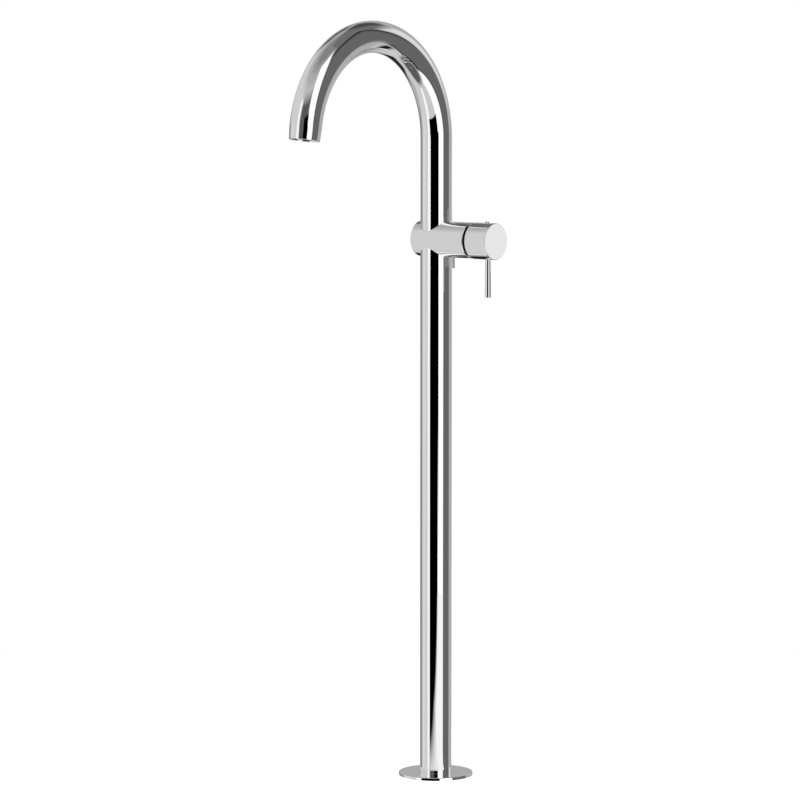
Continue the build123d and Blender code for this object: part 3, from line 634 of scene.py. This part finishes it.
back_line = rounded(
    [
        (body_back + body_rim, body_radius, 0),
        (body_back, body_radius, body_rim),
        (body_back, 0, 0),
    ]
)
front_line = rounded(
    [
        (body_front - body_mouth_rim, body_radius, 0),
        (body_front, body_radius, body_mouth_rim),
        (body_front, mouth_radius, 0.4 * mm),
        (body_front - mouth_depth, mouth_radius, 0),
        (body_front - mouth_depth, 0, 0),
    ]
)
theta = np.linspace(0, 2 * np.pi, 4 * socket_points - 3)[:-1]


def socket_wall(sign):
    """The wall of a socket from its saddle edge, at height sqrt(r^2 - y^2), to its floor."""
    x = socket_radius * np.cos(theta)
    y = socket_radius * np.sin(theta)
    edge = np.sqrt(body_radius**2 - y**2)
    levels = np.linspace(0, 1, 5)[:, None]
    z = body_height + sign * (edge * (1 - levels) + socket_floor * levels)
    wall = np.stack([x + 0 * levels, y + 0 * levels, z], -1)
    inner = wall[-1:] * np.array((0.0, 0.0, 1.0))
    return np.concatenate([wall, inner]), tube_faces(6, len(theta))


body = joined(
    "body_shell",
    [
        (front_side, quads),
        (back_side, quads),
        body_end(back_line),
        body_end(front_line),
        socket_wall(1),
        socket_wall(-1),
    ],
)
dress(body, chrome, "stand", "polished_chrome", "body_casting")

# The locking pin
# A short beaded pin of stainless steel, screwed into the underside of the body beside the column.
pin_low, pin_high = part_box("body_locking_pin")
pin_x = (pin_low.x + pin_high.x) / 2
pin_radius = (pin_high.x - pin_low.x) / 2
pin_core = 1.4 * mm
pin_beads = 4
pin_bottom = pin_low.z
underside = body_height - body_radius
climb = np.linspace(0, 1, 81)
beaded = pin_core + (pin_radius - pin_core) * np.abs(np.sin(np.pi * climb * pin_beads)) ** 0.7
tip_half = climb * pin_beads < 0.5
beaded[tip_half] = pin_radius * np.sin(np.pi * climb[tip_half] * pin_beads) ** 0.6
pin_points = [(pin_bottom + c * (underside - pin_bottom), r, 0) for c, r in zip(climb, beaded)]
pin_top = underside + 0.004
pin_points += [(pin_top, pin_core, 0), (pin_top, 0, 0)]
pin = turned("locking_pin", pin_points, (pin_x, 0, 0), up, ahead, around=32)
steel = metal_material("turned_steel", (0.62, 0.62, 0.63), 0.18, 0.2)
dress(pin, steel, "stand", "stainless", "body_locking_pin")

# The spout
# One brass tube bent over a former: straight up from the body, over in a half turn and down to a
# mouth that is swaged in slightly. It turns on the nipple inside its foot.
spout_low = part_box("spout_tube")[0]
spout_radius = 23.75 * mm
spout_wall = 1.5 * mm
arch_radius = 152 * mm
arch_sweep = radians(171.5)
spring_height = 974.5 * mm
nozzle_length = 19.5 * mm
mouth_outer = 22.75 * mm
lip_round = 0.45 * mm


def spout_frames(distance):
    """Centre, inward normal and direction of the spout's centreline at distances from its foot.

    It runs up by the riser's length, then round a circle of the arch's radius through the arch's
    sweep, then straight on along the nozzle.
    """
    riser = spring_height - spout_low.z
    arc = arch_radius * arch_sweep
    turn = np.clip((distance - riser) / arch_radius, 0, arch_sweep)
    past = np.clip(distance - riser - arc, 0, None)
    up_run = np.minimum(distance, riser)
    way = np.stack([0 * turn, -np.sin(turn), np.cos(turn)], -1)
    inward = np.stack([0 * turn, -np.cos(turn), -np.sin(turn)], -1)
    centre = np.stack(
        [
            0 * turn,
            -arch_radius + arch_radius * np.cos(turn),
            spout_low.z + up_run + arch_radius * np.sin(turn),
        ],
        -1,
    ) + past[:, None] * way
    return centre, inward, way


riser_length = spring_height - spout_low.z
arc_length = arch_radius * arch_sweep
whole_length = riser_length + arc_length + nozzle_length
arch_stations = riser_length + arc_length * np.linspace(0, 1, 141)
tip = whole_length - lip_round
nozzle_stations = [whole_length - nozzle_length + 1 * mm, tip - 0.3 * mm, tip]
stations_out = np.concatenate([[0, riser_length - 1 * mm], arch_stations, nozzle_stations])
nozzle_share = np.clip((stations_out - riser_length - arc_length) / nozzle_length, 0, 1)
radii_out = spout_radius + (mouth_outer - spout_radius) * nozzle_share
lip_turn = np.linspace(0, np.pi / 2, 6)[1:]
wall_end = mouth_outer - spout_wall
lip_sine = lip_round * np.sin(lip_turn)
lip_cosine = lip_round * np.cos(lip_turn)
lip_out = np.stack([tip + lip_sine, mouth_outer - lip_round + lip_cosine], -1)
lip_in = np.stack([tip + lip_cosine, wall_end + lip_round - lip_sine], -1)
line_out = np.stack([stations_out, radii_out], -1)
line_in = line_out[::-1] - np.array((0, spout_wall))
spout_line = np.concatenate([line_out, lip_out, lip_in, line_in])
centre, inward, way = spout_frames(spout_line[:, 0])
spout_around = 96
round_angle = np.linspace(0, 2 * np.pi, spout_around, endpoint=False)
sideways = np.array((1.0, 0.0, 0.0))
ring = (
    np.cos(round_angle)[None, :, None] * sideways
    + np.sin(round_angle)[None, :, None] * inward[:, None, :]
)
spout_grid = centre[:, None, :] + spout_line[:, 1, None, None] * ring
spout_faces = tube_faces(len(spout_line), spout_around, closed=True)
spout = make_mesh("spout_shell", spout_grid.reshape(-1, 3), spout_faces)
merge_doubles(spout)
dress(spout, chrome, "spout", "polished_chrome", "spout_tube")

# The hub
# A solid brass drum on the cartridge's spindle, hollowed at its back into a skirt that hides the
# core cover. Its rims are broken by hand before it is plated.
hub_low, hub_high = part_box("hub")
hub_radius = (hub_high.z - hub_low.z) / 2
hub_face_rim = 0.8 * mm
hub_back_rim = 1.2 * mm
skirt_radius = 23 * mm
skirt_depth = 16.4 * mm
boss_radius = 9 * mm
boss_length = 8 * mm
hub = turned(
    "hub_drum",
    [
        (hub_high.x, 0, 0),
        (hub_high.x, hub_radius, hub_face_rim),
        (hub_low.x, hub_radius, hub_back_rim),
        (hub_low.x, skirt_radius, 0.3 * mm),
        (hub_low.x + skirt_depth, skirt_radius, 0.5 * mm),
        (hub_low.x + skirt_depth, boss_radius, 0.5 * mm),
        (hub_low.x + skirt_depth - boss_length, boss_radius, 0.4 * mm),
        (hub_low.x + skirt_depth - boss_length, 0, 0),
    ],
    (0, 0, body_height), ahead, up, around=192,
)
dress(hub, chrome, "handle", "polished_chrome", "hub")

# The lever
# A slim turned bar that grows towards its flat end, screwed up into the underside of the hub.
lever_low, lever_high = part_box("lever")
lever_x = (lever_low.x + lever_high.x) / 2
lever_tip_radius = (lever_high.x - lever_low.x) / 2
lever_root_radius = 4.2 * mm
lever_seat = body_height - hub_radius + 2.5 * mm
lever = turned(
    "lever_bar",
    [
        (lever_low.z, 0, 0),
        (lever_low.z, lever_tip_radius, 0.5 * mm),
        (lever_seat, lever_root_radius, 0.2 * mm),
        (lever_seat, 0, 0),
    ],
    (lever_x, 0, 0), up, ahead, around=64,
)
dress(lever, chrome, "handle", "polished_chrome", "lever")

# The index plug
# A small domed plug pressed into the top of the hub, over the screw that clamps the spindle.
plug_low, plug_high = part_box("index_plug")
plug_x = (plug_low.x + plug_high.x) / 2
plug_radius = (plug_high.x - plug_low.x) / 2
plug = turned(
    "index_plug_cap",
    [
        (plug_low.z, 0, 0),
        (plug_low.z, plug_radius, 0.2 * mm),
        (plug_high.z, plug_radius, 1 * mm),
        (plug_high.z, 0, 0),
    ],
    (plug_x, 0, 0), up, ahead, around=48,
)
dress(plug, chrome, "handle", "polished_chrome", "index_plug")

# The inner pieces
# Brass, steel, copper, ceramic, rubber and moulded plastic pieces that keep their solids' shapes.
inner_finishes = {
    "brass": metal_material("machined_brass", (0.72, 0.55, 0.3), 0.3, 0.3),
    "stainless": steel,
    "copper": metal_material("drawn_copper", (0.72, 0.4, 0.27), 0.28, 0.2),
    "black_rubber": metal_material("black_rubber", (0.025, 0.025, 0.025), 0.7, 0.4, 0.0),
    "black_plastic": metal_material("black_plastic", (0.012, 0.012, 0.013), 0.45, 0.3, 0.0),
    "white_plastic": metal_material("white_plastic", (0.75, 0.75, 0.73), 0.45, 0.3, 0.0),
    "grey_plastic": metal_material("grey_plastic", (0.3, 0.3, 0.31), 0.5, 0.3, 0.0),
    "ceramic": metal_material("lapped_ceramic", (0.85, 0.84, 0.8), 0.2, 0.1, 0.0),
    "polished_chrome": chrome,
}
slot_of = {part["node"]: part["material_slot"] for part in frame["record"]["subparts"]}
for name, node in frame["nodes"].items():
    node.data.materials.clear()
    node.data.materials.append(inner_finishes[slot_of[name]])

dressed_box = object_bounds()
for box in (solid_box, dressed_box):
    json.dumps([list(corner) for corner in box]) + "\n"
